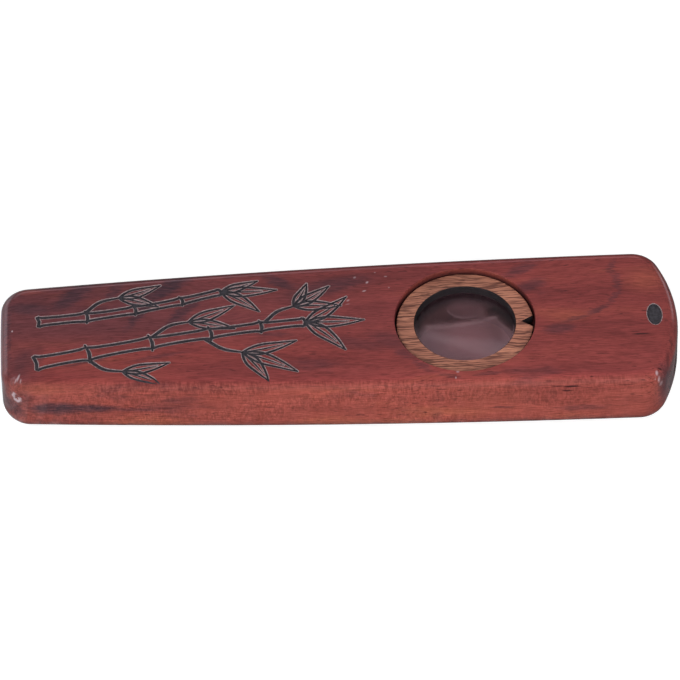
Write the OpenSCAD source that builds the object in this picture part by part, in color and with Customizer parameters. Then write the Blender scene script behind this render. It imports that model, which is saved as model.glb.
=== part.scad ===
// Wooden kazoo, lying flat: two glued wooden shells with the wind channel between
// them, and a thin film over a round sound window, held down by a wooden ring.
// +X points to the wide mouth end, +Y across the body and +Z up. The origin is in
// the middle of the face that the kazoo rests on. All sizes are in millimetres.

/* [Body] */
// Length, from the narrow end to the mouth end
body_l = 122; // [114:1:135]
// Thickness, from the resting face to the top face
body_t = 12.5; // [12:0.1:15]
// Width that the sides have at the narrow end
narrow_w = 24.6; // [22:0.2:28]
// Width that the sides have at the mouth end
wide_w = 32.4; // [31.8:0.2:38]
// How far each long side bows out past a straight line
side_bow = 1.15; // [0.6:0.05:2.5]
// How far the narrow end bows out
narrow_crown = 0.25; // [0.1:0.05:1.5]
// How far the mouth end bows out
wide_crown = 4.35; // [2:0.05:6]
// Corner radius at the narrow end, seen from above
narrow_corner_r = 5.2; // [4.4:0.1:7]
// Corner radius at the mouth end, seen from above
wide_corner_r = 5.3; // [4.4:0.1:7]
// Rounding of the upper edge
top_round = 2; // [0.5:0.1:2.6]
// Rounding of the lower edge
bottom_round = 4; // [1:0.1:4.2]

/* [Wind channel] */
// Height of the channel, half of it cut into each shell
channel_h = 5.2; // [4.8:0.1:6]
// Width of the slot that the player hums into
mouth_w = 16; // [12:0.5:19]
// Width of the slot at the narrow end
exit_w = 9; // [8:0.5:14]

/* [Sound window] */
// Distance from the mouth end to the middle of the window
window_from_mouth = 38.3; // [34:0.1:44]
// Wood left under the film, above the channel
ledge_t = 1.4; // [0.8:0.1:1.8]
// Gap all round, between the ring and the wall of its seat
ring_gap = 0.35; // [0.2:0.05:0.5]
// Depth from the top face down to the ring
ring_drop = 1; // [0.4:0.1:1.4]

/* [Ring and film] */
// Diameter of the hole in the ring
ring_hole_d = 18.2; // [15:0.1:19]
// Width of the ring's wood, from its hole to its rim
ring_w = 3.25; // [2.8:0.05:3.8]
// Thickness of the ring
ring_t = 1.6; // [1.2:0.1:2]
// Width of the ring's prying notch at its mouth
notch_w = 2.8; // [1.5:0.1:4]
// Depth of the prying notch, inwards from the ring's rim
notch_deep = 2.2; // [1:0.1:2.4]
// Thickness of the film, which is thinner on a real kazoo
film_t = 0.1; // [0.05:0.01:0.2]

/* [Hidden] */

// What every cut runs past the face that it leaves through
overrun = 1;
// Sides of the round cuts, the ring and the film
round_sides = 96;
// Flat faces along a long side, an end, a corner, and across a rounded edge
side_steps = 24;
end_steps = 12;
corner_steps = 9;
round_steps = 7;

// Heights from the resting face
seat_z = body_t - ring_drop - ring_t - film_t;
ring_z = seat_z + film_t;
channel_z = seat_z - ledge_t - channel_h;
seam_z = channel_z + channel_h / 2;

// The window lines up with the ring's hole
window_x = body_l / 2 - window_from_mouth;
window_r = ring_hole_d / 2;
ring_r = window_r + ring_w;
seat_r = ring_r + ring_gap;

// Radius of an arc that rises by crown over a chord of twice half_w
function crown_r(half_w, crown) = (half_w * half_w + crown * crown) / (2 * crown);
// The crossing on the +Y side of a circle about p and a circle about q
function crossing(p, p_r, q, q_r) =
    let (d = norm(q - p), u = (q - p) / d, along = (p_r * p_r - q_r * q_r + d * d) / (2 * d),
         off = sqrt(p_r * p_r - along * along), turned = [-u[1], u[0]])
    p + along * u + (turned[1] > 0 ? off : -off) * turned;
function direction(p, q) = atan2(q[1] - p[1], q[0] - p[0]);

// Seen from above, a large arc bounds each long side and each end
wide_r = crown_r(wide_w / 2, wide_crown);
wide_at = [body_l / 2 - wide_r, 0];
narrow_r = crown_r(narrow_w / 2, narrow_crown);
narrow_at = [narrow_r - body_l / 2, 0];
side_rise = (wide_w - narrow_w) / 2;
side_chord = norm([body_l, side_rise]);
side_r = crown_r(side_chord / 2, side_bow);
side_at = [0, (narrow_w + wide_w) / 4] - (side_r - side_bow) * [-side_rise, body_l] / side_chord;

// The rounded corners, and the directions in which they meet the large arcs
wide_corner = crossing(side_at, side_r - wide_corner_r, wide_at, wide_r - wide_corner_r);
narrow_corner = crossing(side_at, side_r - narrow_corner_r, narrow_at, narrow_r - narrow_corner_r);
wide_turn = direction(wide_at, wide_corner);
side_from = direction(side_at, wide_corner);
side_to = direction(side_at, narrow_corner);
narrow_turn = direction(narrow_at, narrow_corner);

// Points on an arc, without the last one, where the next arc starts
function arc(at, r, from, to, steps) =
    [for (i = [0 : steps - 1]) let (a = from + (to - from) * i / steps) at + r * [cos(a), sin(a)]];
function mirrored(p) = [p[0], -p[1]];
// The plan's outline, drawn in by inset all round
function outline(inset) = concat(
    arc(wide_at, wide_r - inset, -wide_turn, wide_turn, end_steps),
    arc(wide_corner, wide_corner_r - inset, wide_turn, side_from, corner_steps),
    arc(side_at, side_r - inset, side_from, side_to, side_steps),
    arc(narrow_corner, narrow_corner_r - inset, side_to, narrow_turn, corner_steps),
    arc(narrow_at, narrow_r - inset, narrow_turn, 360 - narrow_turn, end_steps),
    arc(mirrored(narrow_corner), narrow_corner_r - inset, 360 - narrow_turn, 360 - side_to, corner_steps),
    arc(mirrored(side_at), side_r - inset, 360 - side_to, 360 - side_from, side_steps),
    arc(mirrored(wide_corner), wide_corner_r - inset, 360 - side_from, 360 - wide_turn, corner_steps));

// The plan, solid from z = 0 up to h, with its upper edge rounded
module blank(h, edge_round) {
    levels = concat([[0, 0]], [for (i = [0 : round_steps]) let (a = 90 * i / round_steps)
        [edge_round * (1 - cos(a)), h - edge_round * (1 - sin(a))]]);
    n = len(outline(0));
    top = len(levels) - 1;
    polyhedron(
        [for (level = levels) each [for (p = outline(level[0])) [p[0], p[1], level[1]]]],
        concat(
            [[for (i = [0 : n - 1]) i]],
            [for (k = [0 : top - 1], i = [0 : n - 1])
                let (j = (i + 1) % n) [k * n + i, (k + 1) * n + i, (k + 1) * n + j, k * n + j]],
            [[for (i = [n - 1 : -1 : 0]) top * n + i]]));
}

// A slot along X with round sides, as high as the channel and w wide
module slot(w, from, to) {
    r = channel_h / 2;
    translate([from, 0, seam_z]) {
        for (side = [-1, 1]) translate([0, side * (w / 2 - r), 0]) rotate([0, 90, 0])
            cylinder(to - from, r, r, $fn = round_sides);
        translate([0, r - w / 2, -r]) cube([to - from, w - channel_h, channel_h]);
    }
}

// The whole wind way: mouth slot, round chamber under the film, exit slot
module wind_channel() {
    slot(mouth_w, window_x, body_l / 2 + overrun);
    slot(exit_w, -body_l / 2 - overrun, window_x);
    translate([window_x, 0, channel_z])
        cylinder(seat_z + overrun - channel_z, window_r, window_r, $fn = round_sides);
}

module body_top() {
    color("#7d3f40") difference() {
        translate([0, 0, seam_z]) blank(body_t - seam_z, top_round);
        wind_channel();
        translate([window_x, 0, seat_z])
            cylinder(body_t - seat_z + overrun, seat_r, seat_r, $fn = round_sides);
    }
}

module body_bottom() {
    color("#95504a") difference() {
        translate([0, 0, seam_z]) mirror([0, 0, 1]) blank(seam_z, bottom_round);
        wind_channel();
    }
}

module membrane_ring() {
    color("#a4765e") translate([window_x, 0, ring_z]) difference() {
        cylinder(ring_t, ring_r, ring_r, $fn = round_sides);
        translate([0, 0, -overrun])
            cylinder(ring_t + 2 * overrun, window_r, window_r, $fn = round_sides);
        translate([ring_r, 0, -overrun]) linear_extrude(ring_t + 2 * overrun)
            polygon([[-notch_deep, 0], [0, -notch_w / 2], [overrun, -notch_w / 2],
                     [overrun, notch_w / 2], [0, notch_w / 2]]);
    }
}

module membrane() {
    color("#5a4348") translate([window_x, 0, seat_z])
        cylinder(film_t, ring_r, ring_r, $fn = round_sides);
}

body_top();
body_bottom();
membrane_ring();
membrane();
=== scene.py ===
"""The looks of a flat wooden kazoo: varnished shells with engraved bamboo, a light
wooden ring and the film under it, on a pale floor in soft light.
Sizes here are in millimetres, and meshes are scaled to metres as they are made."""
import math
from functools import reduce

import bpy
from mathutils import Matrix, Vector


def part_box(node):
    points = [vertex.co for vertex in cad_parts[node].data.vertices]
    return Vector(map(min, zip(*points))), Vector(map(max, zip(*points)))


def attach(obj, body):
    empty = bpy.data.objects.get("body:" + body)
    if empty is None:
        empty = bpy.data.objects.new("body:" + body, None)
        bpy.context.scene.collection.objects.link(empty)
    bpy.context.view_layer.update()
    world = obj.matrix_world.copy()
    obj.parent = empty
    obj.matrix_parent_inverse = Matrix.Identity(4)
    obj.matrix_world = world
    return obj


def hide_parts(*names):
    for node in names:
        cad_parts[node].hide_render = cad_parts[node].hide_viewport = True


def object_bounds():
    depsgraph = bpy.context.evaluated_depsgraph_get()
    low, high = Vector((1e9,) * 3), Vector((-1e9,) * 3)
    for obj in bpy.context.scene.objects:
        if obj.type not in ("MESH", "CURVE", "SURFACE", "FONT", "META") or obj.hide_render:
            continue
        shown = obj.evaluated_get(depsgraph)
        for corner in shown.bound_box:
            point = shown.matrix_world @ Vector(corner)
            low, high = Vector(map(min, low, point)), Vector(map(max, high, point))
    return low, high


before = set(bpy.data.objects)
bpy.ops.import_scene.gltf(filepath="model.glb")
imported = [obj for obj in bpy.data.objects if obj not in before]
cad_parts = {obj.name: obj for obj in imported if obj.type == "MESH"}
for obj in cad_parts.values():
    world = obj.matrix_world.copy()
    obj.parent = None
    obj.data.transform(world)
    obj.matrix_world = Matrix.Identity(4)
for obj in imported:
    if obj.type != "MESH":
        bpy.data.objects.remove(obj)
cad_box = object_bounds()

MM = 0.001


def box_mm(node):
    """The lowest and the highest corner of a CAD node, in millimetres."""
    low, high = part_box(node)
    return low / MM, high / MM


# Places that the CAD parts give
BODY_L = (cad_box[1].x - cad_box[0].x) / MM
BODY_T = box_mm("body_top")[1].z
SEAM_Z = box_mm("body_bottom")[1].z
FILM_LOW, FILM_HIGH = box_mm("membrane")
RING_LOW, RING_HIGH = box_mm("membrane_ring")
WINDOW_X = (RING_LOW.x + RING_HIGH.x) / 2
RING_R = (RING_HIGH.x - RING_LOW.x) / 2
SEAT_Z = FILM_LOW.z

# The body's plan, as the CAD model has it
NARROW_W = 24.6
WIDE_W = 32.4
SIDE_BOW = 1.15
NARROW_CROWN = 0.25
WIDE_CROWN = 4.35
NARROW_CORNER_R = 5.2
WIDE_CORNER_R = 5.3
BOTTOM_ROUND = 4
# The upper edge: a narrow shoulder, and an arc that leaves it at a slight crease
TOP_ROUND = 2.3
CREASE = math.radians(9)
SHOULDER_W = 0.4
SHOULDER_DROP = 0.02

# The wind channel, the sound window and the seat of film and ring. The slots' outer edges
# are eased in steps, up to an end turn in degrees.
CHANNEL_H = 5.2
MOUTH_W = 16
EXIT_W = 9
LEDGE_T = 1.4
WINDOW_R = 9.1
RING_GAP = 0.35
CHANNEL_Z = SEAT_Z - LEDGE_T - CHANNEL_H
EASED = 0.6
EASED_STEPS = 6
EASED_END = 81
SEAT_EASED = 0.12

# The ring's notch and its eased edges
NOTCH_W = 2.8
NOTCH_DEEP = 2.2
RING_EASED = 0.12

# How far cutters run past the faces that they cut
OVERRUN = 1

# Flat faces along a long side, an end, a corner, and across a rounded edge
SIDE_STEPS = 72
END_STEPS = 36
CORNER_STEPS = 18
ROUND_STEPS = 12
CIRCLE_STEPS = 160
SLOT_STEPS = 24

# Edges that turn by more degrees than this are sharp
SHARP_FROM = 28

# Material slots of both shells
VARNISHED, CHARRED, CUT_VARNISH_SHEEN, BARE, SEAT_SHADED = range(5)
# The ring's second slot
SCORCHED_SHADED = 1


def add_object(name, data):
    piece = bpy.data.objects.new(name, data)
    bpy.context.scene.collection.objects.link(piece)
    return piece


def make_mesh(name, points, faces, material_index=0):
    """A mesh object from points in millimetres."""
    mesh = bpy.data.meshes.new(name)
    mesh.from_pydata([Vector(p) * MM for p in points], [], faces)
    mesh.polygons.foreach_set("material_index", [material_index] * len(faces))
    return add_object(name, mesh)


def stack(name, loops, material_index=0):
    """A closed solid through a stack of closed loops, each with as many points."""
    n = len(loops[0])
    faces = [tuple(reversed(range(n))), tuple(range((len(loops) - 1) * n, len(loops) * n))]
    for k in range(len(loops) - 1):
        for i in range(n):
            j = (i + 1) % n
            faces.append((k * n + i, k * n + j, (k + 1) * n + j, (k + 1) * n + i))
    return make_mesh(name, [p for loop in loops for p in loop], faces, material_index)


def circle(radius, z, x=0, y=0, steps=CIRCLE_STEPS):
    turns = [math.tau * i / steps for i in range(steps)]
    return [(x + radius * math.cos(a), y + radius * math.sin(a), z) for a in turns]


def cut(piece, cutters):
    """Takes the cutters away from the piece, and deletes them."""
    for cutter in cutters:
        modifier = piece.modifiers.new("cut", "BOOLEAN")
        modifier.operation = "DIFFERENCE"
        modifier.solver = "MANIFOLD"
        modifier.object = cutter
    bpy.context.view_layer.update()
    evaluated = piece.evaluated_get(bpy.context.evaluated_depsgraph_get())
    mesh = bpy.data.meshes.new_from_object(evaluated)
    piece.modifiers.clear()
    piece.data = mesh
    for cutter in cutters:
        bpy.data.objects.remove(cutter)


def smooth(piece):
    """Smooth shading with sharp edges, where large flat faces stay flat."""
    piece.data.shade_smooth()
    piece.data.set_sharp_from_angle(angle=math.radians(SHARP_FROM))
    modifier = piece.modifiers.new("normals", "WEIGHTED_NORMAL")
    modifier.keep_sharp = True


# The plan's outline

def crown_radius(half_width, crown):
    """Radius of an arc that rises by crown over a chord of twice half_width."""
    return (half_width ** 2 + crown ** 2) / (2 * crown)


def crossing(p, p_radius, q, q_radius):
    """The crossing on the +Y side of a circle about p and a circle about q."""
    apart = (q - p).length
    along = (p_radius ** 2 - q_radius ** 2 + apart ** 2) / (2 * apart)
    off = math.sqrt(p_radius ** 2 - along ** 2)
    ahead = (q - p) / apart
    turned = Vector((-ahead.y, ahead.x))
    return p + along * ahead + (off if turned.y > 0 else -off) * turned


def direction(p, q):
    return math.atan2(q.y - p.y, q.x - p.x)


def plan_arcs():
    """The arcs of the +Y half, from the wide to the narrow end: centre, radius, turns, steps."""
    wide_r = crown_radius(WIDE_W / 2, WIDE_CROWN)
    wide_at = Vector((BODY_L / 2 - wide_r, 0))
    narrow_r = crown_radius(NARROW_W / 2, NARROW_CROWN)
    narrow_at = Vector((narrow_r - BODY_L / 2, 0))
    chord = Vector((-(WIDE_W - NARROW_W) / 2, BODY_L))
    side_r = crown_radius(chord.length / 2, SIDE_BOW)
    side_at = Vector((0, (NARROW_W + WIDE_W) / 4)) - (side_r - SIDE_BOW) * chord.normalized()
    wide_corner = crossing(side_at, side_r - WIDE_CORNER_R, wide_at, wide_r - WIDE_CORNER_R)
    narrow_corner = crossing(side_at, side_r - NARROW_CORNER_R, narrow_at, narrow_r - NARROW_CORNER_R)
    wide_turn = direction(wide_at, wide_corner)
    side_from = direction(side_at, wide_corner)
    side_to = direction(side_at, narrow_corner)
    narrow_turn = direction(narrow_at, narrow_corner)
    return [
        (wide_at, wide_r, 0, wide_turn, END_STEPS // 2),
        (wide_corner, WIDE_CORNER_R, wide_turn, side_from, CORNER_STEPS),
        (side_at, side_r, side_from, side_to, SIDE_STEPS),
        (narrow_corner, NARROW_CORNER_R, side_to, narrow_turn, CORNER_STEPS),
        (narrow_at, narrow_r, narrow_turn, math.pi, END_STEPS // 2),
    ]


PLAN_ARCS = plan_arcs()


def outline(inset, z):
    """The plan's outline at height z, drawn in by inset all round."""
    half = []
    for at, radius, start, end, steps in PLAN_ARCS:
        for i in range(steps):
            turn = start + (end - start) * i / steps
            half.append(at + (radius - inset) * Vector((math.cos(turn), math.sin(turn))))
    tip = Vector((inset - BODY_L / 2, 0))
    other = [Vector((p.x, -p.y)) for p in reversed(half[1:])]
    return [(p.x, p.y, z) for p in half + [tip] + other]


def end_x(y, wide):
    """Where the end face lies at y, on the wide or the narrow end."""
    at, radius = PLAN_ARCS[0][:2] if wide else PLAN_ARCS[-1][:2]
    reach = math.sqrt(radius ** 2 - y ** 2)
    return at.x + reach if wide else at.x - reach


# The shells

def top_blank():
    loops = [outline(0, SEAM_Z)]
    arc_top = BODY_T - SHOULDER_DROP
    for i in range(ROUND_STEPS + 1):
        tilt = math.pi / 2 + (CREASE - math.pi / 2) * i / ROUND_STEPS
        inset = TOP_ROUND * (1 - math.sin(tilt))
        loops.append(outline(inset, arc_top - TOP_ROUND * (math.cos(CREASE) - math.cos(tilt))))
    loops.append(outline(TOP_ROUND * (1 - math.sin(CREASE)) + SHOULDER_W, BODY_T))
    return stack("body_top_shell", loops)


def bottom_blank():
    loops = []
    for i in range(ROUND_STEPS + 1):
        tilt = math.pi / 2 * i / ROUND_STEPS
        loops.append(outline(BOTTOM_ROUND * (1 - math.sin(tilt)), BOTTOM_ROUND * (1 - math.cos(tilt))))
    loops.append(outline(0, SEAM_Z))
    return stack("body_bottom_shell", loops)


def slot_loop(width, grow, x_of_y):
    """A slot's outline, round at both sides, bent to follow x_of_y."""
    middle = CHANNEL_Z + CHANNEL_H / 2
    radius = CHANNEL_H / 2 + grow
    loop = []
    for side in (1, -1):
        for i in range(SLOT_STEPS + 1):
            turn = side * math.pi / 2 - math.pi * i / SLOT_STEPS
            y = side * (width - CHANNEL_H) / 2 + radius * math.cos(turn)
            loop.append((x_of_y(y), y, middle + radius * math.sin(turn)))
    return loop


def slot_cutter(width, wide):
    """A slot from the window out through one end, with an eased edge there."""
    outwards = 1 if wide else -1
    loops = [slot_loop(width, 0, lambda y: WINDOW_X)]
    for i in range(EASED_STEPS + 1):
        turn = math.radians(EASED_END * i / EASED_STEPS)
        back = EASED * (1 - math.sin(turn))
        grow = EASED * (1 - math.cos(turn))
        loops.append(slot_loop(width, grow, lambda y: end_x(y, wide) - outwards * back))
    loops.append(slot_loop(width, EASED, lambda y: end_x(y, wide) + outwards * OVERRUN))
    if not wide:
        loops.reverse()
    return stack("slot_cutter", loops, BARE)


def chamber_cutter():
    return stack("chamber_cutter", [circle(WINDOW_R, z, WINDOW_X) for z in
                                    (CHANNEL_Z, SEAT_Z + OVERRUN)], BARE)


def seat_cutter():
    """The seat of film and ring, with walls dark with painted shade, and an eased rim."""
    seat_r = RING_R + RING_GAP
    profile = [(seat_r, SEAT_Z), (seat_r, BODY_T - SEAT_EASED),
               (seat_r + SEAT_EASED + OVERRUN, BODY_T + OVERRUN)]
    return stack("seat_cutter", [circle(r, z, WINDOW_X) for r, z in profile], SEAT_SHADED)


# The engraving. A stroke is a curve that a pen of changing width draws.

GROOVE_DEEP = 0.34
GROOVE_LEAN = 0.06
LIP_W = 0.14
LIP_DROP = 0.05
ABOVE = 0.04
# How far the cutter reaches past the line at each height
GROOVE_LEVELS = [
    (-GROOVE_LEAN, BODY_T - GROOVE_DEEP),
    (0, BODY_T - LIP_DROP),
    (LIP_W * (1 + ABOVE / LIP_DROP), BODY_T + ABOVE),
]
CAP_STEPS = 6
THINNEST_HALF = 0.02
# The shares of a stroke's length over which it thins at its start and end
THIN_START = 0.3
THIN_END = 0.5


def curve_through(points, step=0.45):
    """Points on a smooth curve through the given ones, about step apart."""
    points = [Vector(p) for p in points]
    ends = [2 * points[0] - points[1]] + points + [2 * points[-1] - points[-2]]
    found = []
    for a, b, c, d in zip(ends, ends[1:], ends[2:], ends[3:]):
        steps = max(2, round((c - b).length / step))
        for i in range(steps):
            t = i / steps
            found.append(0.5 * (2 * b + (c - a) * t + (2 * a - 5 * b + 4 * c - d) * t ** 2
                                + (3 * b - a - 3 * c + d) * t ** 3))
    return found + [points[-1]]


def groove(points, widths):
    """A cutter along a curve, with round ends and the width given at each point."""
    n = len(points)
    ahead = [(points[min(i + 1, n - 1)] - points[max(i - 1, 0)]).normalized() for i in range(n)]
    left = [Vector((-a.y, a.x)) for a in ahead]
    turns = [math.pi * i / CAP_STEPS for i in range(1, CAP_STEPS)]

    def loop(grow, z):
        halves = [max(w / 2 + grow, THINNEST_HALF) for w in widths]
        found = [points[i] - left[i] * halves[i] for i in range(n)]
        for turn in turns:
            found.append(points[-1] + halves[-1] * (math.sin(turn) * ahead[-1] - math.cos(turn) * left[-1]))
        found += [points[i] + left[i] * halves[i] for i in reversed(range(n))]
        for turn in turns:
            found.append(points[0] + halves[0] * (math.cos(turn) * left[0] - math.sin(turn) * ahead[0]))
        return [(p.x, p.y, z) for p in found]

    return grooved([loop(grow, z) for grow, z in GROOVE_LEVELS])


def grooved(loops):
    """The cutter through the loops of GROOVE_LEVELS: charred, with a pale lip that is partly a painted
    highlight.
    """
    cutter = stack("groove_cutter", loops, CHARRED)
    lip = len(loops[0])
    for polygon in cutter.data.polygons[-lip:]:
        polygon.material_index = CUT_VARNISH_SHEEN
    return cutter


def stroke(points, width, start=1.0, end=1.0):
    """A stroke of that width, which thins to a share of it at its start and end."""
    line = curve_through(points)
    widths = []
    for i in range(len(line)):
        t = i / (len(line) - 1)
        share = min(1, start + (1 - start) * t / THIN_START, end + (1 - end) * (1 - t) / THIN_END)
        widths.append(width * share)
    return groove(line, widths)


LEAF_LINE = 0.48
VEIN_LINE = 0.32
CANE_LINE = 0.58
TWIG_LINE = 0.66
NODE_LINE = 0.62
# A leaf's outer line, as shares of its length and half width, and where its vein runs
LEAF_EDGE = [(0, 0), (0.14, 0.62), (0.36, 1), (0.68, 0.62), (1, 0)]
LEAF_VEIN = (0.16, 0.45, 0.74)
# Along a cane from joint to joint: its half width as a share, and how far ahead its lines lie
CANE_FLARE = [1.22, 1.02, 0.94, 1.02, 1.22]
CANE_SHIFT = [0.3, 0, 0, 0, -0.3]
NEAR_JOINT = 0.15
# The lines across a cane: how many half widths they reach to each side, and how far they bow
NODE_REACH = 1.7
NODE_BOW = 0.35
END_REACH = 1.1
END_BOW = 0.25


def leaf(at, angle, length, width, bend=0):
    """A lance-shaped leaf: two outer lines that meet at the tip, and a vein."""
    at = Vector(at)

    def place(along, aside):
        turn = math.radians(angle + bend * along)
        return at + Matrix.Rotation(turn, 2) @ Vector((along * length, aside * width / 2))

    strokes = []
    for side in (1, -1):
        strokes.append(stroke([place(t, side * w) for t, w in LEAF_EDGE], LEAF_LINE, end=0.6))
    strokes.append(stroke([place(t, 0) for t in LEAF_VEIN], VEIN_LINE, end=0.4))
    return strokes


def cane(points, width, tip_width, joints):
    """A bamboo cane: two lines between joints, and a bowed line across at each."""
    line = curve_through(points, 0.3)
    n = len(line)
    strokes = []

    def at(share, aside=0, forward=0):
        i = min(max(round(share * (n - 1)), 1), n - 2)
        ahead = (line[i + 1] - line[i - 1]).normalized()
        half = (width + (tip_width - width) * share) / 2
        return line[i] + Vector((-ahead.y, ahead.x)) * aside * half + ahead * forward

    def across(share, reach, bow):
        return [at(share, -reach), at(share, 0, bow), at(share, reach)]

    marks = [0] + joints + [1]
    for a, b in zip(marks, marks[1:]):
        for side in (1, -1):
            shares = [a, a + (b - a) * NEAR_JOINT, (a + b) / 2, b - (b - a) * NEAR_JOINT, b]
            places = zip(shares, CANE_FLARE, CANE_SHIFT)
            edge = [at(share, side * flare, shift) for share, flare, shift in places]
            strokes.append(stroke(edge, CANE_LINE))
    for share in joints:
        strokes.append(stroke(across(share, NODE_REACH, NODE_BOW), NODE_LINE, 0.6, 0.6))
    for share in (0, 1):
        strokes.append(stroke(across(share, END_REACH, END_BOW), CANE_LINE))
    return strokes


def bamboo():
    """Two canes that lie along the narrow half, with twigs and fans of leaves."""
    strokes = cane([(-55, -7.2), (-42, -4.6), (-28, -2), (-14, 0), (-6, 0.8)], 2.8, 1.6,
                   [0.2, 0.43, 0.64, 0.83])
    strokes += cane([(-54.5, 3), (-42, 4.3), (-30, 6.6), (-21, 9)], 1.9, 1.2, [0.26, 0.52, 0.77])
    twigs = [
        [(-24, -2.8), (-21, -5.2), (-17.5, -6.2)],
        [(-33.4, -1.4), (-30.5, 1), (-27, 1.8)],
        [(-45, -6.9), (-42.4, -9.2), (-39, -9.9)],
        [(-45.6, 4.9), (-43, 7.4), (-39.5, 8.4)],
        [(-13.2, 1.2), (-11, 3.6), (-8, 4.8)],
    ]
    for points in twigs:
        strokes.append(stroke(points, TWIG_LINE, end=0.6))
    fans = [
        ((-6, 0.8), [(-38, 10, 2.4, -8), (-4, 10.5, 2.5, 4), (30, 9.5, 2.3, 8)]),
        ((-17.5, -6.2), [(-52, 8.5, 2.3, -6), (-22, 11, 2.5, -6), (8, 10, 2.3, 6)]),
        ((-27, 1.8), [(-10, 8.5, 2.2, -4), (20, 9, 2.3, 4)]),
        ((-39, -9.9), [(-22, 7.5, 2, -4), (6, 8.5, 2.1, 6)]),
        ((-21, 9), [(-30, 8.5, 2.2, -8), (-4, 10, 2.3, 4), (16, 7, 1.8, 4)]),
        ((-39.5, 8.4), [(-14, 7.5, 2, -6), (14, 8, 2.1, 6)]),
        ((-8, 4.8), [(2, 8.5, 2.2, -4), (30, 8, 2.1, 6), (58, 6, 1.8, 8)]),
    ]
    for at, leaves in fans:
        for angle, length, width, bend in leaves:
            strokes += leaf(at, angle, length, width, bend)
    return strokes


OVAL_AT = Vector((56.8, -0.35))
OVAL_HALF_X = 1.32
OVAL_HALF_Y = 2.55
OVAL_TILT = 1.5
OVAL_STEPS = 64


def oval_mark():
    """A plain sunken oval near the mouth end."""
    tilted = Matrix.Rotation(math.radians(OVAL_TILT), 2)
    loops = []
    for grow, z in GROOVE_LEVELS:
        loop = []
        for i in range(OVAL_STEPS):
            a = math.tau * i / OVAL_STEPS
            reach = Vector(((OVAL_HALF_X + grow) * math.cos(a), (OVAL_HALF_Y + grow) * math.sin(a)))
            p = OVAL_AT + tilted @ reach
            loop.append((p.x, p.y, z))
        loops.append(loop)
    return grooved(loops)


# Materials

class Nodes:
    """A material's nodes, with a short call for each kind."""

    def __init__(self, name):
        self.material = bpy.data.materials.new(name)
        self.material.use_nodes = True
        self.tree = self.material.node_tree
        self.tree.nodes.clear()
        self.at = self.add("ShaderNodeTexCoord").outputs["Object"]
        self.mm = self.scaled(self.at, 1 / MM)

    def add(self, kind, inputs=(), **settings):
        node = self.tree.nodes.new(kind)
        for key, value in settings.items():
            setattr(node, key, value)
        for key, value in dict(inputs).items():
            if isinstance(value, bpy.types.NodeSocket):
                self.tree.links.new(value, node.inputs[key])
            else:
                node.inputs[key].default_value = value
        return node

    def math(self, operation, a, b=0.0):
        return self.add("ShaderNodeMath", {0: a, 1: b}, operation=operation).outputs[0]

    def times(self, a, b):
        return self.math("MULTIPLY", a, b)

    def plus(self, a, b):
        return self.math("ADD", a, b)

    def minus(self, a, b):
        return self.math("SUBTRACT", a, b)

    def most(self, a, b):
        return self.math("MAXIMUM", a, b)

    def apart(self, a, b):
        return self.math("ABSOLUTE", self.minus(a, b))

    def vector(self, operation, a, b=(0, 0, 0), out="Vector"):
        return self.add("ShaderNodeVectorMath", {0: a, 1: b}, operation=operation).outputs[out]

    def scaled(self, a, scale):
        if isinstance(scale, tuple):
            return self.vector("MULTIPLY", a, scale)
        return self.add("ShaderNodeVectorMath", {0: a, "Scale": scale}, operation="SCALE").outputs["Vector"]

    def parts(self, a):
        """The X, Y and Z of a vector."""
        return self.add("ShaderNodeSeparateXYZ", {0: a}).outputs[:]

    def length(self, a):
        return self.vector("LENGTH", a, out="Value")

    def noise(self, at, scale=1.0, detail=2.0, roughness=0.5, distortion=0.0, out="Fac"):
        return self.add("ShaderNodeTexNoise", {
            "Vector": at, "Scale": scale, "Detail": detail, "Roughness": roughness,
            "Distortion": distortion}).outputs[out]

    def fade(self, value, low, high, to_low=0.0, to_high=1.0):
        """Turns low..high into to_low..to_high, with soft ends."""
        return self.add("ShaderNodeMapRange", {
            "Value": value, "From Min": low, "From Max": high, "To Min": to_low, "To Max": to_high},
            interpolation_type="SMOOTHSTEP").outputs["Result"]

    def mix(self, factor, a, b, blend="MIX"):
        """Mixes two colours."""
        node = self.add("ShaderNodeMix", data_type="RGBA", blend_type=blend, clamp_factor=True)
        for socket, value in zip((node.inputs[0], node.inputs[6], node.inputs[7]), (factor, a, b)):
            if isinstance(value, bpy.types.NodeSocket):
                self.tree.links.new(value, socket)
            else:
                socket.default_value = value
        return node.outputs[2]

    def place(self, at, centre, size, angle=0.0):
        """Where a point lies in an ellipsoid about centre, turned about Z, with 1 at its surface."""
        return self.add("ShaderNodeMapping", {
            "Vector": at, "Location": centre, "Rotation": (0, 0, math.radians(angle)), "Scale": size},
            vector_type="TEXTURE").outputs["Vector"]

    def spot(self, at, centre, size, angle, low, high, strength=1.0):
        """A soft blot: strength inside an ellipsoid, and 0 outside."""
        return self.fade(self.length(self.place(at, centre, size, angle)), low, high, 0, strength)

    def bump(self, height, distance, strength=1.0, normal=None):
        inputs = {"Height": height, "Distance": distance, "Strength": strength}
        if normal:
            inputs["Normal"] = normal
        return self.add("ShaderNodeBump", inputs).outputs["Normal"]

    def emission(self, colour, strength=1.0):
        return self.add("ShaderNodeEmission", {"Color": colour, "Strength": strength})

    def finish(self, shader):
        output = self.add("ShaderNodeOutputMaterial")
        self.tree.links.new(shader.outputs[0], output.inputs["Surface"])
        return self.material

    def surface(self, colour, roughness, normal, more=()):
        """The finished material, with a Principled shader."""
        inputs = {"Base Color": colour, "Roughness": roughness, "Normal": normal, **dict(more)}
        return self.finish(self.add("ShaderNodeBsdfPrincipled", inputs))


def rgb(red, green, blue):
    return (red, green, blue, 1)


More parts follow.
